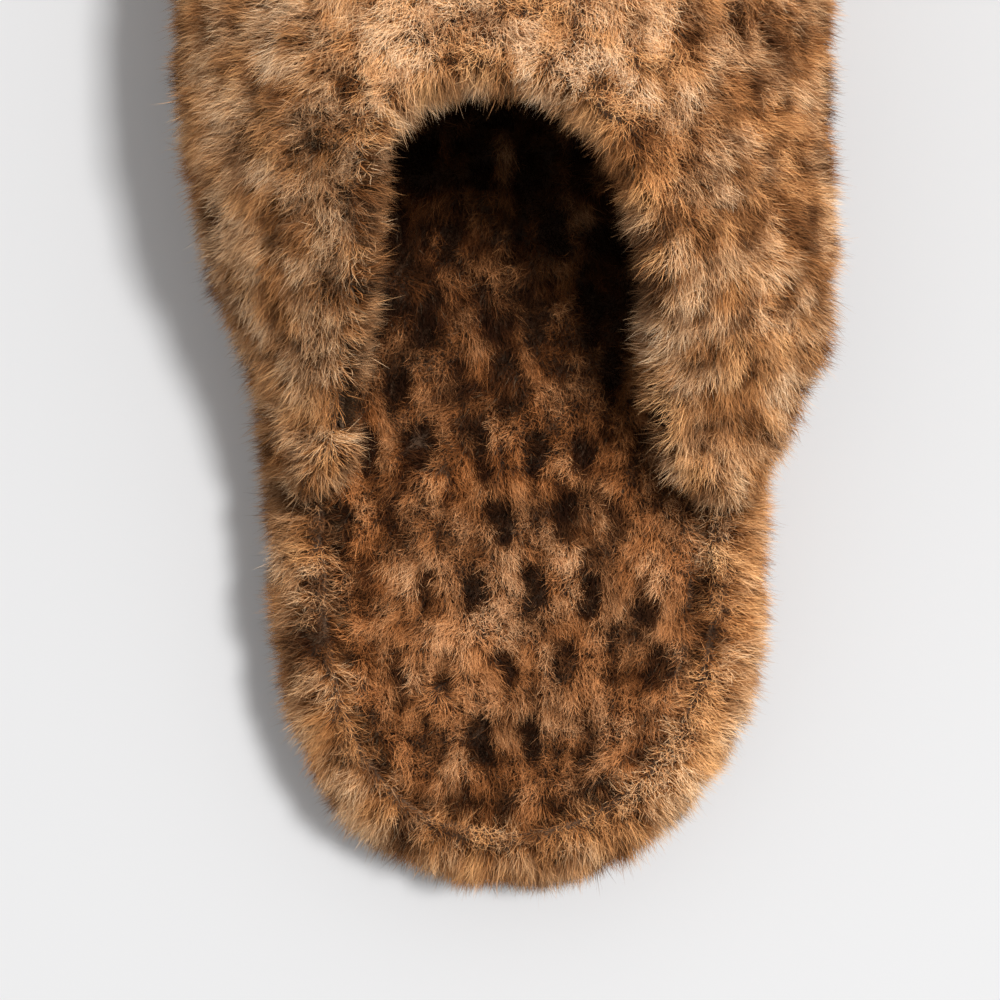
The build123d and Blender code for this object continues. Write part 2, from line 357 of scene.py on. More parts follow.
# ---------------------------------------------------------------- brindle


# All in pitches: how far apart the rows are, half a dash's length, the edge where a dash starts and where it
# is full, and how far a dash strays in size and place. Then how far it turns, and its least depth and spread.
ROW_RISE = 1.3
DASH_REACH = 0.30
DASH_START = 0.27
DASH_FULL = 0.12
SIZE_SPREAD = 0.16
SPREAD_ACROSS = 0.22
SPREAD_ALONG = 0.2
TURN_SPREAD = 0.5
DEPTH_RANGE = (0.75, 0.5)


def dashes(s, t, pitch, seed):
    """Rows of short upright dashes: 1 on a dash, 0 off it.

    Every row is shifted against the next and no dash meets another, so that they form no letters.
    """
    best = np.zeros(len(s))
    rise = ROW_RISE * pitch
    row = np.floor(t / rise)
    for step_t in (0, 1):
        shift = 0.5 * ((row + step_t) % 2)
        column = np.floor(s / pitch - shift)
        for step_s in (0, 1):
            cell = np.stack([column + step_s, row + step_t], axis=1).astype(np.int64)
            jog_s, jog_t, strength, size, turn = (lattice(cell, seed + k) - 0.5 for k in range(5))
            ds = s - (column + step_s + shift + SPREAD_ACROSS * jog_s) * pitch
            dt = t - (row + step_t) * rise - SPREAD_ALONG * jog_t * pitch
            ds, dt = ds + TURN_SPREAD * turn * dt, dt - TURN_SPREAD * turn * ds
            past_end = np.maximum(np.abs(dt) - pitch * (DASH_REACH + SIZE_SPREAD * size), 0)
            mark = smoothstep(pitch * DASH_START, pitch * DASH_FULL, np.hypot(past_end, ds))
            best = np.maximum(best, mark * (DEPTH_RANGE[0] + DEPTH_RANGE[1] * strength))
    return best


FRAY = 1.1
FRAY_SIZE = 3.2
WASH_SIZE = 24.0
WASHED_OUT = 0.45


def brindle(places, flat, pitch, seed):
    """How dark the pile is at each place: dashes over the flat places, frayed, and washed out in patches."""
    frayed = flat + FRAY * noise_vectors(places, FRAY_SIZE, seed)[:, :2]
    marks = dashes(frayed[:, 0], frayed[:, 1], pitch, seed)
    kept = smoothstep(0.25, 0.6, noise(places, WASH_SIZE, seed + 31))
    return marks * (WASHED_OUT + (1 - WASHED_OUT) * kept)


# ---------------------------------------------------------------- materials


def new_material(name, roughness, specular=0.3, sheen=0.0, sheen_tint=(1, 1, 1), sheen_roughness=0.4):
    """A material with a Principled shader whose steady values are set, and its node tree."""
    material = bpy.data.materials.new(name)
    material.use_nodes = True
    tree = material.node_tree
    shader = tree.nodes["Principled BSDF"]
    shader.inputs["Roughness"].default_value = roughness
    shader.inputs["Specular IOR Level"].default_value = specular
    shader.inputs["Sheen Weight"].default_value = sheen
    shader.inputs["Sheen Roughness"].default_value = sheen_roughness
    shader.inputs["Sheen Tint"].default_value = (*sheen_tint, 1)
    return material, tree, shader


def ramp(tree, value, stops):
    """A colour ramp node over a value, and its colour output."""
    node = tree.nodes.new("ShaderNodeValToRGB")
    elements = node.color_ramp.elements
    while len(elements) < len(stops):
        elements.new(0.5)
    for element, (place, colour) in zip(elements, stops):
        element.position = place
        element.color = (*colour, 1)
    tree.links.new(value, node.inputs["Fac"])
    return node.outputs["Color"]


def blend(tree, kind, factor, first, second):
    """A colour mix node of two colours, each a socket or a plain colour."""
    node = tree.nodes.new("ShaderNodeMix")
    node.data_type = "RGBA"
    node.blend_type = kind
    for socket, value in ((node.inputs[0], factor), (node.inputs[6], first), (node.inputs[7], second)):
        if isinstance(value, bpy.types.NodeSocket):
            tree.links.new(value, socket)
        elif isinstance(value, tuple):
            socket.default_value = (*value, 1)
        else:
            socket.default_value = value
    return node.outputs[2]


def attribute(tree, name):
    """The value that each point carries under a name."""
    node = tree.nodes.new("ShaderNodeAttribute")
    node.attribute_name = name
    return node.outputs["Fac"]


def texture_noise(tree, scale, detail=3.0, roughness=0.6):
    """A noise texture over the object's own space: scale in blobs per metre."""
    place = tree.nodes.new("ShaderNodeTexCoord")
    node = tree.nodes.new("ShaderNodeTexNoise")
    node.inputs["Scale"].default_value = scale
    node.inputs["Detail"].default_value = detail
    node.inputs["Roughness"].default_value = roughness
    tree.links.new(place.outputs["Object"], node.inputs["Vector"])
    return node.outputs["Fac"]


def bump(tree, shader, height, distance, strength=1.0):
    """Relief from a height value, in metres."""
    node = tree.nodes.new("ShaderNodeBump")
    node.inputs["Distance"].default_value = distance
    node.inputs["Strength"].default_value = strength
    tree.links.new(height, node.inputs["Height"])
    tree.links.new(node.outputs["Normal"], shader.inputs["Normal"])


def math(tree, operation, first, second):
    """A maths node on a socket and another socket or number."""
    node = tree.nodes.new("ShaderNodeMath")
    node.operation = operation
    tree.links.new(first, node.inputs[0])
    if isinstance(second, bpy.types.NodeSocket):
        tree.links.new(second, node.inputs[1])
    else:
        node.inputs[1].default_value = second
    return node.outputs[0]


# How many times the painted light and shade of a strand's crimp come and go along it, and the painted shade's
# colour.
CRIMPS = 5.0
CRIMP_PAINTED_SHADE = (0.74, 0.70, 0.66)


def painted_crimp_shading(tree, along):
    """Painted light and shade along each strand, each strand with its own, for the crimp of fine wool
    catching the light.
    """
    node = tree.nodes.new("ShaderNodeTexNoise")
    node.noise_dimensions = "1D"
    node.inputs["Scale"].default_value = CRIMPS
    node.inputs["Detail"].default_value = 1.0
    tree.links.new(math(tree, "ADD", along, attribute(tree, "phase")), node.inputs["W"])
    return ramp(tree, node.outputs["Fac"], [(0.32, CRIMP_PAINTED_SHADE), (0.58, (1, 1, 1))])


def pile_material(name, body_stops, tip_stops, warm, painted_root_shade):
    """Sheepskin pile: body and tip colours by each strand's tone, some strands warmer, with painted shade at
    the root and painted crimp light and shade along each strand.
    """
    material, tree, shader = new_material(
        name,
        roughness=0.7,
        specular=0.03,
        sheen=0.12,
        sheen_tint=(0.95, 0.68, 0.42),
        sheen_roughness=0.5,
    )
    tone, along = attribute(tree, "tone"), attribute(tree, "along")
    near_tip = ramp(tree, along, [(0.40, (0, 0, 0)), (0.95, (1, 1, 1))])
    tip = math(tree, "MULTIPLY", near_tip, attribute(tree, "frost"))
    colour = blend(tree, "MIX", tip, ramp(tree, tone, body_stops), ramp(tree, tone, tip_stops))
    colour = blend(tree, "MULTIPLY", attribute(tree, "warmth"), colour, warm)
    # Painted shade at each strand's root, deep in the pile.
    half_painted_shade = tuple((1 + shade) / 2 for shade in painted_root_shade)
    depth = ramp(tree, along, [(0.0, painted_root_shade), (0.35, half_painted_shade), (0.7, (1, 1, 1))])
    colour = blend(tree, "MULTIPLY", 1.0, colour, depth)
    # Painted light and shade of the crimp along each strand.
    colour = blend(tree, "MULTIPLY", 1.0, colour, painted_crimp_shading(tree, along))
    tree.links.new(colour, shader.inputs["Base Color"])
    return material


def plain_material(name, dark, light, scale, roughness, distance, fine_scale, sheen=0.0, specular=0.3):
    """A mottled material with a fine relief: felt, foam, rubber, hide or thread."""
    material, tree, shader = new_material(name, roughness, specular, sheen, light)
    mottle = texture_noise(tree, scale)
    fine = texture_noise(tree, fine_scale, 2.0)
    colour = ramp(tree, mottle, [(0.3, dark), (0.7, light)])
    shade = ramp(tree, fine, [(0.3, (0.6, 0.6, 0.6)), (0.65, (1, 1, 1))])
    colour = blend(tree, "MULTIPLY", 0.5, colour, shade)
    tree.links.new(colour, shader.inputs["Base Color"])
    bump(tree, shader, fine, distance)
    return material


VAMP_BODY = [
    (0.0, (0.045, 0.015, 0.005)),
    (0.35, (0.20, 0.082, 0.028)),
    (0.65, (0.55, 0.265, 0.102)),
    (1.0, (0.82, 0.48, 0.22)),
]
VAMP_TIPS = [
    (0.0, (0.110, 0.054, 0.026)),
    (0.35, (0.46, 0.275, 0.155)),
    (0.65, (0.92, 0.680, 0.440)),
    (1.0, (1.0, 0.87, 0.68)),
]
FOOTBED_BODY = [
    (0.0, (0.014, 0.0042, 0.0013)),
    (0.35, (0.064, 0.021, 0.0060)),
    (0.70, (0.29, 0.114, 0.038)),
    (1.0, (0.55, 0.25, 0.098)),
]
FOOTBED_TIPS = [
    (0.0, (0.030, 0.0115, 0.0045)),
    (0.35, (0.165, 0.076, 0.033)),
    (0.70, (0.57, 0.315, 0.160)),
    (1.0, (0.90, 0.62, 0.38)),
]
# The lining pile's brown is darkened near to black with painted shade, for the shade deep inside the vamp.
LINING_BODY_IN_PAINTED_SHADE = [(0.0, (0.005, 0.002, 0.0010)), (0.5, (0.020, 0.008, 0.003)), (1.0, (0.07, 0.030, 0.012))]
LINING_TIPS_IN_PAINTED_SHADE = [(0.0, (0.010, 0.004, 0.002)), (0.5, (0.04, 0.017, 0.007)), (1.0, (0.12, 0.056, 0.024))]

# Last in each: how far a warm strand's colour is pulled, and the painted shade at the root, where the pile
# shades itself.
tan_pile = pile_material("tan_pile", VAMP_BODY, VAMP_TIPS, (1.0, 0.84, 0.66), (0.45, 0.36, 0.28))
footbed_pile = pile_material(
    "footbed_pile",
    FOOTBED_BODY,
    FOOTBED_TIPS,
    (1.0, 0.82, 0.62),
    (0.40, 0.32, 0.25),
)
# The lining's colours carry painted shade.
lining_pile = pile_material("lining_pile", LINING_BODY_IN_PAINTED_SHADE, LINING_TIPS_IN_PAINTED_SHADE, (1.0, 0.80, 0.62), (0.4, 0.32, 0.26))
hide = plain_material("sheep_hide", (0.030, 0.014, 0.006), (0.11, 0.055, 0.025), 160, 0.8, 0.0004, 900, 0.2)


# ---------------------------------------------------------------- where the pile grows


def rim_profile():
    """The foot opening's radius round its middle at even angles, read from the tape that edges it."""
    away = read(NODES["topline_tape"].data)[0][:, :2] - OPENING
    turn, radius = np.arctan2(away[:, 0], away[:, 1]), np.linalg.norm(away, axis=1)
    angles = np.linspace(turn.min(), turn.max(), 48)
    near = np.abs(turn[None] - angles[:, None]) < 1.5 * (angles[1] - angles[0])
    found = near.any(1)
    return angles[found], np.where(near, radius[None], np.inf).min(1)[found]


RIM_ANGLES, RIM_RADII = rim_profile()


def rim_distance(points):
    """How far outside the foot opening's edge each point is, seen from above, and the way in to it."""
    away = points[:, :2] - OPENING
    inward = np.zeros_like(points)
    inward[:, :2] = -unit(away)
    turn = np.arctan2(away[:, 0], away[:, 1])
    return np.linalg.norm(away, axis=1) - np.interp(turn, RIM_ANGLES, RIM_RADII), inward


# The middle line of the foot inside the vamp, and of the platform, along which the sides are told apart.
CORE_REAR = VAMP_REAR + 25
CORE_FRONT = 90.0
CORE_HEIGHT = 30.0
SPINE_REACH = 95.0


def cavity_side(points, normals):
    """Positive where a vamp surface looks away from the foot, negative where it looks at it."""
    along = np.clip(points[:, 1], CORE_REAR, CORE_FRONT)
    core = np.stack([np.zeros(len(points)), along, np.full(len(points), CORE_HEIGHT)], axis=1)
    return (normals * unit(points - core)).sum(1)


def outward(points):
    """The level way out from the platform's middle line."""
    along = np.clip(points[:, 1], -SPINE_REACH, SPINE_REACH)
    spine = np.stack([np.zeros(len(points)), along, points[:, 2]], axis=1)
    return unit(points - spine)


def outline_side(points, normals):
    """Positive where a platform wall looks outwards."""
    return (normals * outward(points)).sum(1)


# Strands vary one by one: each pair is the least share and how much a random number adds to it.
STRAND_WIDTH = 0.088
WIDTH_RANGE = (0.7, 0.6)
LENGTH_RANGE = (0.80, 0.26)
FROST_RANGE = (0.6, 0.4)
LEAST_FROST = 0.1
TONE_SPREAD = 0.09
PHASES = 100

# They also vary from patch to patch: each first number is the patches' size in millimetres. Then come the
# least length and its swing, the lean's swing in degrees, each tone's swing with its seed, where frost starts
# and is full, and the shares of patch and strand in the warmth. Tone patches are drawn out along the foot.
LENGTH_PATCH = (3.2, 0.66, 0.64)
LEAN_PATCH = (4.6, 56)
TONE_PATCHES = ((5.6, 0.58, 3), (2.3, 0.52, 4))
TONE_DRAW = np.array([1.0, 0.55, 1.0])
FROST_PATCH = (4.2, 0.35, 0.65)
WARM_PATCH = (13.0, 0.75, 0.25)

# A tuft has painted light in its middle and painted shade where it meets the next one, in the crevice between
# them.
TUFT_PAINTED_LIGHT = 0.10
TUFT_PAINTED_SHADE = 0.30
TUFT_MIDDLE = 0.2
TUFT_EDGE = 0.75


def coat(prefix, mesh, material, shares, density, length, lean, flow, tone, seed, frizz=FRIZZ):
    """Grows a coat of strands on a hide, in several meshes mixed evenly so that each stays light."""
    rng = np.random.default_rng(seed)
    roots, normals = scatter(mesh, density, rng)
    count = len(roots)
    lengths = length(roots, normals) * (LENGTH_RANGE[0] + LENGTH_RANGE[1] * rng.random(count))
    size, least, swing = LENGTH_PATCH
    lengths *= least + swing * noise(roots, size, seed + 7)
    size, swing = LEAN_PATCH
    leans = lean(roots, normals) + swing * (noise(roots, size, seed + 8) - 0.5)
    growth = comb(roots, normals, flow(roots, normals), leans, seed)
    lines, spread = grow(roots, normals, growth, lengths, rng, frizz)
    lines[..., 2] = np.maximum(lines[..., 2], LOWEST_HAIR)
    tones = tone(roots, normals)
    for size, swing, step in TONE_PATCHES:
        tones = tones + swing * (noise(roots * TONE_DRAW, size, seed + step) - 0.5)
    # Painted light in each tuft's middle and painted shade at its edge, where tufts part.
    tones += TUFT_PAINTED_LIGHT - TUFT_PAINTED_SHADE * smoothstep(TUFT_MIDDLE, TUFT_EDGE, spread)
    tones += TONE_SPREAD * rng.normal(size=count)
    size, low, high = FROST_PATCH
    frosted = smoothstep(low, high, noise(roots, size, seed + 9))
    frosted = frosted * (FROST_RANGE[0] + FROST_RANGE[1] * rng.random(count))
    phase = PHASES * rng.random(count)
    size, patch, own = WARM_PATCH
    warmth = np.clip(patch * noise(roots, size, seed + 5) + own * rng.random(count), 0, 1)
    widths = STRAND_WIDTH * (WIDTH_RANGE[0] + WIDTH_RANGE[1] * rng.random(count))
    values = {
        "tone": np.clip(tones, 0, 1),
        "warmth": warmth,
        "frost": LEAST_FROST + (1 - LEAST_FROST) * frosted,
        "phase": phase,
    }
    order = rng.permutation(count)
    for number in range(shares):
        mine = order[number::shares]
        own_values = {label: numbers[mine] for label, numbers in values.items()}
        name = f"{prefix}_{number + 1}"
        strands = ribbon_mesh(name, lines[mine], normals[mine], widths[mine], own_values, rng)
        piece = link(name, strands)
        piece.data.materials.append(material)
    print(prefix, count, "strands")


def hide_piece(name, mesh, *nodes):
    """Shows a hide in place of the CAD solid that it was made from."""
    piece = link(name, mesh)
    mesh.materials.append(hide)
    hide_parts(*nodes)
    return piece


def skin_mesh(name, shell, keep, thickness):
    """A hide of even thickness inside part of a shell: the faces that keep(points, normals) picks."""
    points, _, _ = read(shell)
    faces = [list(face.vertices) for face in shell.polygons]
    middles = np.array([points[face].mean(0) for face in faces])
    normals = np.array([face.normal[:] for face in shell.polygons])
    kept = [face for face, wanted in zip(faces, keep(middles, normals)) if wanted]
    used = sorted({index for face in kept for index in face})
    place = {index: number for number, index in enumerate(used)}
    rough = bpy.data.meshes.new(name + "_rough")
    rough.from_pydata((points[used] * MM).tolist(), [], [[place[index] for index in face] for face in kept])
    holder = bpy.data.objects.new(name + "_rough", rough)
    bpy.context.scene.collection.objects.link(holder)
    modifier = holder.modifiers.new("thickness", "SOLIDIFY")
    modifier.thickness = thickness * MM
    modifier.offset = -1
    thick = bpy.data.meshes.new_from_object(holder.evaluated_get(bpy.context.evaluated_depsgraph_get()))
    bpy.data.objects.remove(holder)
    bpy.data.meshes.remove(rough)
    thick.name = name
    thick.shade_smooth()
    return thick


# How far each hide is set in under its pile, in millimetres: on the outside, along the seam, at the foot
# opening's edge and on the footbed. Under the vamp the wrap rises instead, and the footbed's sides stand out.
PILE_DEPTH = 2.6
SEAM_DEPTH = 1.7
EDGE_DEPTH = 0.8
FOOTBED_DEPTH = 2.7
SEAM_RISE = 0.8
FOOTBED_SWELL = 0.7
HIDE_THICKNESS = 1.6
ROLL_WIDTH = 7
BASE_BAND = 9
VAMP_LAYERS = [
    "vamp_shearling",
    "toe_puff",
    "topline_tape",
    "vamp_interlining",
    "collar_padding",
    "vamp_lining",
]


def vamp_inset(points, normals):
    """Deep outside, shallow inside and at the opening's edge, and less at the base and the thin wing ends."""
    thick = 0.35 + 0.65 * smoothstep(VAMP_REAR + 2, VAMP_REAR + 18, points[:, 1])
    thick *= smoothstep(VAMP_BASE, VAMP_BASE + BASE_BAND, points[:, 2])
    outside = smoothstep(-0.15, 0.35, cavity_side(points, normals))
    return thick * (EDGE_DEPTH + (PILE_DEPTH - EDGE_DEPTH) * outside)


def round_edge(mesh, rounds):
    """Plumps the foot opening's edge into a roll."""
    points, edges, _ = read(mesh)
    near_edge = smoothstep(11, 4, np.abs(rim_distance(points)[0]))
    past_wings = smoothstep(VAMP_REAR + 8, VAMP_REAR + 26, points[:, 1])
    write(mesh, relax(points, edges, rounds, 0.5 * near_edge * past_wings))


vamp_shell = hide_mesh("vamp_shell", VAMP_LAYERS, 1.4, vamp_inset, smoothing=1)
round_edge(vamp_shell, 14)


def outside_vamp(points, normals):
    """The vamp's outside and the roll over the foot opening's edge, without the underside of its base."""
    outside = cavity_side(points, normals) > -0.1
    rolled = rim_distance(points)[0] < ROLL_WIDTH
    wing_end = points[:, 1] < VAMP_REAR + 14
    underside = (normals[:, 2] < -0.7) & (points[:, 2] < VAMP_BASE + 4)
    return (outside | rolled | wing_end) & ~underside


vamp_hide = skin_mesh("vamp_hide", vamp_shell, outside_vamp, HIDE_THICKNESS)
hide_piece("vamp_hide", vamp_hide, "vamp_shearling")


def lining_inset(points, normals):
    """Very little, and less still at the thin wing ends."""
    return 0.1 + 0.4 * smoothstep(VAMP_REAR + 6, VAMP_REAR + 22, points[:, 1])


lining_hide = hide_mesh("lining_hide", ["vamp_lining"], 1.1, lining_inset, smoothing=1)
hide_piece("lining_hide", lining_hide, "vamp_lining")


def wrap_inset(points, normals):
    """The wrap's pile stands on its outer wall and its top, not on the inner wall or the turned-under edge.

    Under the vamp the top rises a little into it, so that no light comes through the seam.
    """
    outer = smoothstep(0.1, 0.5, outline_side(points, normals))
    top = smoothstep(0.3, 0.8, normals[:, 2]) * (points[:, 2] > 20)
    bare = 1 - smoothstep(VAMP_REAR + 6, VAMP_REAR + 24, points[:, 1])
    return np.maximum(PILE_DEPTH * outer, SEAM_DEPTH * top * bare) - SEAM_RISE * top * (1 - bare)


wrap_hide = hide_mesh("wrap_hide", ["platform_wrap"], 1.1, wrap_inset)
hide_piece("wrap_hide", wrap_hide, "platform_wrap")


def footbed_inset(points, normals):
    """The top is set in under its pile, and the sides stand out to meet the wrap."""
    top, side = smoothstep(0.3, 0.8, normals[:, 2]), smoothstep(0.6, 0.2, np.abs(normals[:, 2]))
    return FOOTBED_DEPTH * top - FOOTBED_SWELL * side


footbed_hide = hide_mesh("footbed_hide", ["footbed_shearling"], 1.5, footbed_inset)
hide_piece("footbed_hide", footbed_hide, "footbed_shearling")


# ---------------------------------------------------------------- the coats

# Strands for each square millimetre, their length in millimetres, and their lean in degrees.
VAMP_DENSITY = 16.0
VAMP_LENGTH = 5.3
VAMP_LEAN = 25.0
LINING_DENSITY = 3.0
LINING_LENGTH = 4.6
LINING_LEAN = 35.0
WRAP_DENSITY = 15.5
WRAP_LENGTH = 5.3
WRAP_LEAN = 27.0
FOOTBED_DENSITY = 17.0
HIDDEN_FOOTBED_DENSITY = 3.0
FOOTBED_LENGTH = 4.6
FOOTBED_LEAN = 22.0
FOOTBED_FRIZZ = 0.9

# The brindle's pitch in millimetres, and a seed for each piece.
OUTSIDE_PITCH = 8.8
INSIDE_PITCH = 9.5
VAMP_MARKS = 71
LINING_MARKS = 72
WRAP_MARKS = 73
FOOTBED_MARKS = 74

# Tones from 0, dark, to 1, light: each coat's own, and how far places and marks take it up or down; some
# places take it up with painted light or down with painted shade.
VAMP_TONE = 0.68
# Painted light along the vamp's ridge, where the light falls most; painted shade on its outer side and
# painted light on its inner side, for how the light falls across it.
RIDGE_PAINTED_LIGHT = 0.22
OUTER_PAINTED_SHADE = 0.07
INNER_PAINTED_LIGHT = 0.08
VAMP_MARK_DEPTH = 0.58
RIDGE_MARK_LOSS = 0.20
# Painted shade on the vamp's pile inside the opening, where shade gathers.
INSIDE_PAINTED_SHADE = 0.25
LINING_TONE = 0.40
LINING_MARK_DEPTH = 0.3
WRAP_TONE = 0.64
OUTER_LIGHT = 0.15
WRAP_MARK_DEPTH = 0.52
OUTER_MARK_LOSS = 0.14
# Painted shade down in the wrap's seam, and at the heel's inner side, which faces away from the light.
SEAM_PAINTED_SHADE = 0.22
HEEL_PAINTED_SHADE = 0.10
FOOTBED_TONE = 0.75
FOOTBED_MARK_DEPTH = 0.80
# Painted shade on the footbed in under the vamp and down at its edge by the seam.
CAVITY_PAINTED_SHADE = 0.42
EDGE_PAINTED_SHADE = 0.22


def steady(value):
    """The same value all over a hide."""
    return lambda points, normals: np.full(len(points), value)


def vamp_flat(points):
    """Vamp places laid out flat: across from the ridge down either side, and along the foot."""
    across = points[:, 0] + np.sign(points[:, 0]) * np.maximum(0, 62 - points[:, 2]) * 0.6
    return np.stack([across, points[:, 1]], axis=1)


def vamp_flow(points, normals):
    """Into the opening near its edge, elsewhere towards the heel and down the sides."""
    gap, inward = rim_distance(points)
    near = smoothstep(18, 5, gap)[:, None]
    downhill = -UP - normals * (-UP * normals).sum(1, keepdims=True)
    body = unit(1.1 * TO_HEEL + 0.35 * downhill)
    return unit(body * (1 - near) + (inward + 0.35 * TO_HEEL - 0.2 * UP) * near)


def vamp_tone(points, normals):
    """Painted light along the ridge, brindled down the sides, painted shade inside the opening; painted shade
    on the outer side and painted light on the inner side.
    """
    ridge = smoothstep(44, 14, np.abs(points[:, 0] - 3)) * smoothstep(-20, 10, points[:, 1])
    inside = smoothstep(0.0, -0.5, cavity_side(points, normals))
    marks = brindle(points, vamp_flat(points), OUTSIDE_PITCH, VAMP_MARKS)
    outer = smoothstep(10, 45, points[:, 0])
    inner = smoothstep(-12, -35, points[:, 0]) * smoothstep(0, -20, points[:, 1])
    # Painted light on the ridge and the inner side, painted shade on the outer side and inside the opening.
    tone = VAMP_TONE + RIDGE_PAINTED_LIGHT * ridge - OUTER_PAINTED_SHADE * outer + INNER_PAINTED_LIGHT * inner
    return tone - (VAMP_MARK_DEPTH - RIDGE_MARK_LOSS * ridge) * marks - INSIDE_PAINTED_SHADE * inside


def vamp_density(points, normals):
    """Full on the outside and over the opening's edge, none deep inside or under the base."""
    return VAMP_DENSITY * outside_vamp(points, normals)


def vamp_length(points, normals):
    """Shorter at the wing ends and at the base."""
    end = smoothstep(VAMP_REAR, VAMP_REAR + 14, points[:, 1])
    base = smoothstep(VAMP_BASE, VAMP_BASE + BASE_BAND, points[:, 2])
    return VAMP_LENGTH * (0.78 + 0.22 * end) * (0.80 + 0.20 * base)


coat(
    "vamp_pile",
    vamp_shell,
    tan_pile,
    7,
    vamp_density,
    vamp_length,
    steady(VAMP_LEAN),
    vamp_flow,
    vamp_tone,
    1100,
)


def lining_density(points, normals):
    """On the vamp's inner face, past the pile that rolls in over the edge."""
    inside = cavity_side(points, normals) < -0.1
    past_roll = rim_distance(points)[0] >= ROLL_WIDTH - 2
    return LINING_DENSITY * (inside & past_roll & (points[:, 2] > VAMP_BASE + 1))


def lining_flow(points, normals):
    """Straight to the heel."""
    return unit(TO_HEEL + 0 * points)


def lining_tone(points, normals):
    """Faintly brindled."""
    return LINING_TONE - LINING_MARK_DEPTH * brindle(points, vamp_flat(points), INSIDE_PITCH, LINING_MARKS)


coat(
    "lining_pile",
    vamp_shell,
    lining_pile,
    1,
    lining_density,
    steady(LINING_LENGTH),
    steady(LINING_LEAN),
    lining_flow,
    lining_tone,
    1200,
)
bpy.data.meshes.remove(vamp_shell)


def wrap_flow(points, normals):
    """Outwards over the top and down the wall, in over the seam, leaning to the heel."""
    over_seam = smoothstep(0.0, -0.4, outline_side(points, normals))[:, None]
    return unit((0.65 - 2.1 * over_seam) * outward(points) - 0.4 * (1 - over_seam) * UP + 0.65 * TO_HEEL)


def wrap_density(points, normals):
    """Full on the outer wall and the top, none underneath or inside."""
    wall = (outline_side(points, normals) > 0.25) & (normals[:, 2] > -0.75) & (points[:, 2] > 4.6)
    top = (normals[:, 2] > 0.1) & (points[:, 2] > 19.5)
    covered = smoothstep(-30, 5, points[:, 1]) * (normals[:, 2] > 0.8)
    return WRAP_DENSITY * (wall | top) * (1 - 0.8 * covered)


def wrap_length(points, normals):
    """Shorter low on the wall and over the seam."""
    low = smoothstep(13, 5, points[:, 2])
    return WRAP_LENGTH - 1.6 * low - 1.3 * smoothstep(0.0, -0.5, outline_side(points, normals))


def wrap_lean(points, normals):
    """More upright low on the wall and on the flat top."""
    low = smoothstep(12, 4, points[:, 2])
    return WRAP_LEAN - 10 * low - 15 * smoothstep(0.7, 0.95, normals[:, 2])


def wrap_tone(points, normals):
    """Brindled, lightest on the outer side, painted shade down in the seam and a little painted shade at the
    heel's inner side, which faces away from the light.
    """
    seam = smoothstep(-0.1, -0.5, outline_side(points, normals))
    outer = smoothstep(-5, 35, points[:, 0])
    heel = smoothstep(5, -25, points[:, 0]) * smoothstep(-70, -105, points[:, 1])
    marks = brindle(points, wrap_flat(points), OUTSIDE_PITCH, WRAP_MARKS)
    tone = WRAP_TONE + OUTER_LIGHT * outer - (WRAP_MARK_DEPTH - OUTER_MARK_LOSS * outer) * marks
    # Painted shade in the seam and at the heel's inner side.
    return tone - SEAM_PAINTED_SHADE * seam - HEEL_PAINTED_SHADE * heel


def wrap_flat(points):
    """Wrap places laid out flat: round the platform, and outwards and down."""
    angle = np.arctan2(points[:, 0], -(points[:, 1] - np.clip(points[:, 1], -85, 85)) + 1e-6)
    round_way = np.where(np.abs(points[:, 1]) > 85, np.abs(angle) * 34, 53 + 85 + points[:, 1])
    return np.stack([round_way, points[:, 2] + np.linalg.norm(points[:, :1], axis=1) * 0.6], axis=1)


coat(
    "wrap_pile",
    wrap_hide,
    tan_pile,
    4,
    wrap_density,
    wrap_length,
    wrap_lean,
    wrap_flow,
    wrap_tone,
    1300,
)


def footbed_density(points, normals):
    """Full where it shows behind the vamp, thinner inside the toe box."""
    hidden = smoothstep(0, 30, points[:, 1])
    density = FOOTBED_DENSITY - (FOOTBED_DENSITY - HIDDEN_FOOTBED_DENSITY) * hidden
    return (normals[:, 2] > 0.05) * (points[:, 2] > 20.5) * density


def footbed_length(points, normals):
    """Shorter at the edge."""
    return FOOTBED_LENGTH - 0.8 * smoothstep(0.1, 0.6, outline_side(points, normals))


def footbed_flow(points, normals):
    """Towards the heel, and out over the seam at the edge."""
    edge = smoothstep(0.1, 0.5, outline_side(points, normals))[:, None]
    return unit(TO_HEEL * (1 - edge) + 1.2 * outward(points) * edge)


def footbed_tone(points, normals):
    """Strongly brindled, with painted shade down at the seam and in under the vamp, where the vamp shades it.
    """
    edge = smoothstep(0.2, 0.7, outline_side(points, normals))
    marks = brindle(points, points[:, :2], INSIDE_PITCH, FOOTBED_MARKS)
    cavity = smoothstep(-78, -24, points[:, 1])
    # Painted shade in under the vamp and at the seam.
    return FOOTBED_TONE - FOOTBED_MARK_DEPTH * marks - CAVITY_PAINTED_SHADE * cavity - EDGE_PAINTED_SHADE * edge


coat(
    "footbed_pile",
    footbed_hide,
    footbed_pile,
    4,
    footbed_density,
    footbed_length,
    steady(FOOTBED_LEAN),
    footbed_flow,
    footbed_tone,
    1400,
    FOOTBED_FRIZZ,
)


# ---------------------------------------------------------------- the foams inside

FOAM_INSET = 0.15

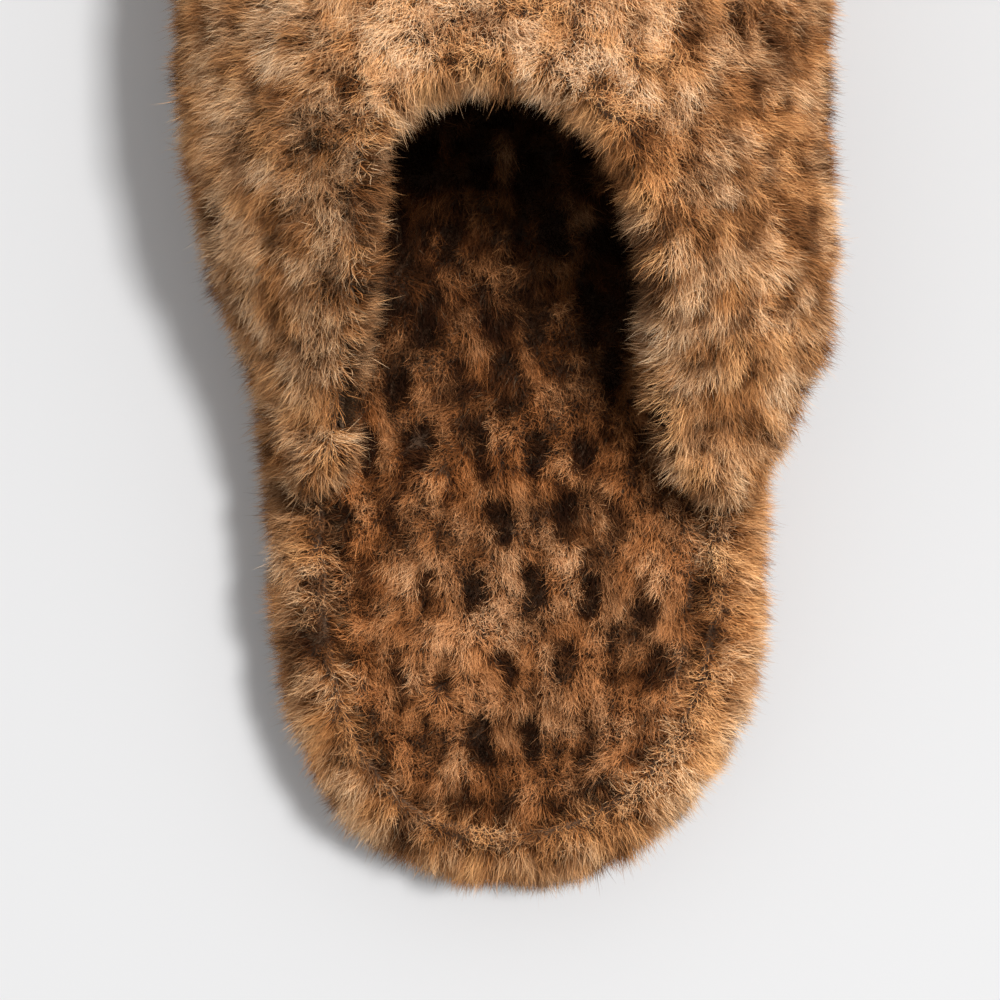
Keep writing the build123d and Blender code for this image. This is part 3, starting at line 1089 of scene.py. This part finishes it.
# Each foam's voxel size, its fill, its dark and light colours, and its blobs for each metre, coarse and fine.
FOAMS = {
    "heel_cushion": (1.1, 0.8, (0.22, 0.15, 0.09), (0.34, 0.25, 0.16), 260, 1800),
    "cushion_insole": (1.4, 0.75, (0.12, 0.075, 0.042), (0.20, 0.135, 0.085), 180, 2000),
    "collar_padding": (0.6, 0.7, (0.10, 0.062, 0.036), (0.17, 0.115, 0.072), 240, 2000),
}
for node, (voxel, fill, dark, light, scale, fine_scale) in FOAMS.items():
    name = node + "_foam"
    foam = link(name, hide_mesh(name, [node], voxel, steady(FOAM_INSET), smoothing=1))
    look = plain_material(
        node + "_look",
        dark,
        light,
        scale,
        roughness=0.85,
        distance=0.0002,
        fine_scale=fine_scale,
        specular=0.2,
    )
    foam.data.materials.append(look)
    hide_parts(node)


# ---------------------------------------------------------------- the pieces that keep their CAD shape

# Dark and light colour, blobs for each metre, roughness, relief, fine blobs, sheen and specular.
THREAD = ((0.03, 0.016, 0.008), (0.08, 0.044, 0.023), 2500, 0.8, 0.00006, 6000, 0.1, 0.1)
CAD_LOOKS = {
    "outsole": ((0.035, 0.024, 0.018), (0.075, 0.052, 0.038), 90, 0.72, 0.00008, 2600, 0.0, 0.4),
    "bottom_filler": ((0.20, 0.19, 0.18), (0.42, 0.41, 0.39), 400, 0.95, 0.0002, 2200, 0.3, 0.1),
    "midsole": ((0.16, 0.105, 0.062), (0.26, 0.18, 0.115), 220, 0.8, 0.0001, 2400, 0.0, 0.2),
    "toe_puff": ((0.60, 0.58, 0.52), (0.78, 0.76, 0.70), 300, 0.6, 0.00005, 3000, 0.0, 0.3),
    "topline_tape": ((0.07, 0.04, 0.022), (0.16, 0.10, 0.06), 1500, 0.9, 0.0001, 4000, 0.3, 0.1),
    "vamp_interlining": ((0.10, 0.062, 0.036), (0.17, 0.115, 0.072), 240, 0.85, 0.0001, 2600, 0.0, 0.2),
    "footbed_stitches": THREAD,
    "topline_stitches": THREAD,
    "wing_bartacks": THREAD,
}
for node, look in CAD_LOOKS.items():
    material = plain_material(node + "_look", *look)
    for place in NODES[node].material_slots:
        place.material = material


# ---------------------------------------------------------------- floor, light and camera

REACH = 3.0
CORNER_SIGNS = ((-1, -1), (1, -1), (1, 1), (-1, 1))
floor_mesh = bpy.data.meshes.new("floor")
floor_mesh.from_pydata([(x * REACH, y * REACH, 0) for x, y in CORNER_SIGNS], [], [(0, 1, 2, 3)])
floor = bpy.data.objects.new("floor", floor_mesh)
bpy.context.scene.collection.objects.link(floor)
paper, paper_tree, paper_shader = new_material("floor_paper", 0.9, 0.1)
paper_stops = [(0.3, (0.80, 0.80, 0.805)), (0.7, (0.83, 0.83, 0.835))]
paper_tint = ramp(paper_tree, texture_noise(paper_tree, 1.5), paper_stops)
paper_tree.links.new(paper_tint, paper_shader.inputs["Base Color"])
floor_mesh.materials.append(paper)

WORLD_STRENGTH = 0.43
world = bpy.data.worlds.new("studio")
world.use_nodes = True
world.node_tree.nodes["Background"].inputs["Color"].default_value = (1.0, 1.0, 1.0, 1)
world.node_tree.nodes["Background"].inputs["Strength"].default_value = WORLD_STRENGTH
bpy.context.scene.world = world


def soft_light(name, place, target, size, power, colour, floor_only):
    """A square softbox, placed and aimed in metres, that lights the floor alone or all but the floor."""
    data = bpy.data.lights.new(name, "AREA")
    data.shape = "SQUARE"
    data.size = size
    data.energy = power
    data.color = colour
    lamp = bpy.data.objects.new(name, data)
    lamp.location = place
    lamp.rotation_mode = "QUATERNION"
    lamp.rotation_quaternion = (Vector(target) - Vector(place)).to_track_quat("-Z", "Y")
    bpy.context.scene.collection.objects.link(lamp)
    lit = bpy.data.collections.new(name + "_lights")
    lit.objects.link(floor)
    lit.collection_objects[0].light_linking.link_state = "INCLUDE" if floor_only else "EXCLUDE"
    lamp.light_linking.receiver_collection = lit


soft_light("floor_light", (1.0, 0.0, 2.9), (0, 0, 0), 0.48, 63.5, (1.0, 1.0, 1.0), True)
soft_light("key_light", (0.85, 0.95, 2.2), (0, -0.04, 0.03), 0.62, 122, (1.0, 0.97, 0.93), False)

# Straight above, over the heel half: the toe runs out of the frame as it does in the photograph.
HEIGHT = 1.5
FOCUS_HEIGHT = 0.03
FRAME_WIDTH = 0.173
HEEL_MARGIN = 0.0175
FUR = 0.003
SENSOR = 36.0
ASIDE = -0.0009
heel = cad_low[1] - FUR
camera_data = bpy.data.cameras.new("camera")
camera_data.sensor_width = SENSOR
camera_data.lens = SENSOR * (HEIGHT - FOCUS_HEIGHT) / FRAME_WIDTH
camera = bpy.data.objects.new("camera", camera_data)
camera.location = (ASIDE, heel - HEEL_MARGIN + FRAME_WIDTH / 2, HEIGHT)
camera.rotation_mode = "QUATERNION"
camera.rotation_quaternion = (1, 0, 0, 0)
bpy.context.scene.collection.objects.link(camera)
bpy.context.scene.camera = camera

bpy.context.scene.view_settings.view_transform = "Standard"
bpy.context.scene.view_settings.look = "None"
